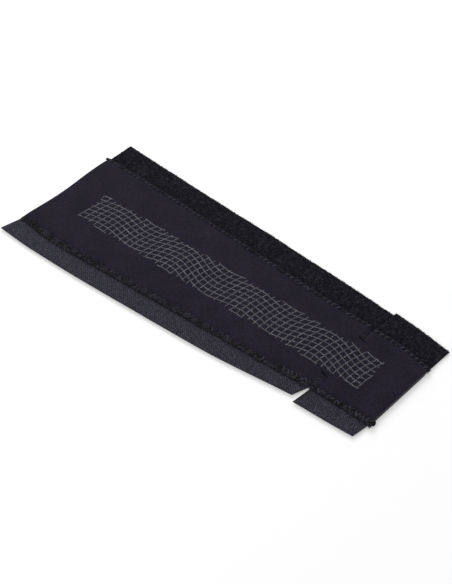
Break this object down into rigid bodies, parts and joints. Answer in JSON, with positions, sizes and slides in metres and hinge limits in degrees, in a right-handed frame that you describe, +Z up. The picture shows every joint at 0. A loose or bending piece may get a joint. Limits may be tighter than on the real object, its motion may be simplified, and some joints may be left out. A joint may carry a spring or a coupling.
{
  "type": "chainstay protector",
  "caption": "tapered foam rubber wrap with sewn hook and loop tape edges, a dart on each side and a rippled net print, laid flat",
  "frame": {"origin": "under the middle of the wrap, on the surface that it lies on", "axes": "+X along the wrap from its wide end to its narrow end, +Y across to the loop tape, +Z up from the outer face"},
  "size_m": [0.2544, 0.1066, 0.0033],
  "materials": {
    "knit_faced_foam": "matte fine knitted facing on foam rubber, near black with a violet cast",
    "rubbery_print": "thin raised rubbery print, grey, slightly soft sheen",
    "hook_tape": "charcoal woven tape, small bright and dark dots of the weave",
    "loop_tape": "black brushed pile, mottled",
    "sewing_thread": "black twisted polyester thread, slightly shiny"
  },
  "bodies": {
    "root": {"foam_panel": "knit_faced_foam", "printed_net": "rubbery_print", "hook_tape_long": "hook_tape", "hook_tape_short": "hook_tape", "loop_tape_long": "loop_tape", "loop_tape_short": "loop_tape", "hook_seam_long": "sewing_thread", "hook_seam_short": "sewing_thread", "loop_seam_long": "sewing_thread", "loop_seam_short": "sewing_thread", "hook_dart_stitching": "sewing_thread", "loop_dart_stitching": "sewing_thread"}
  },
  "joints": []
}
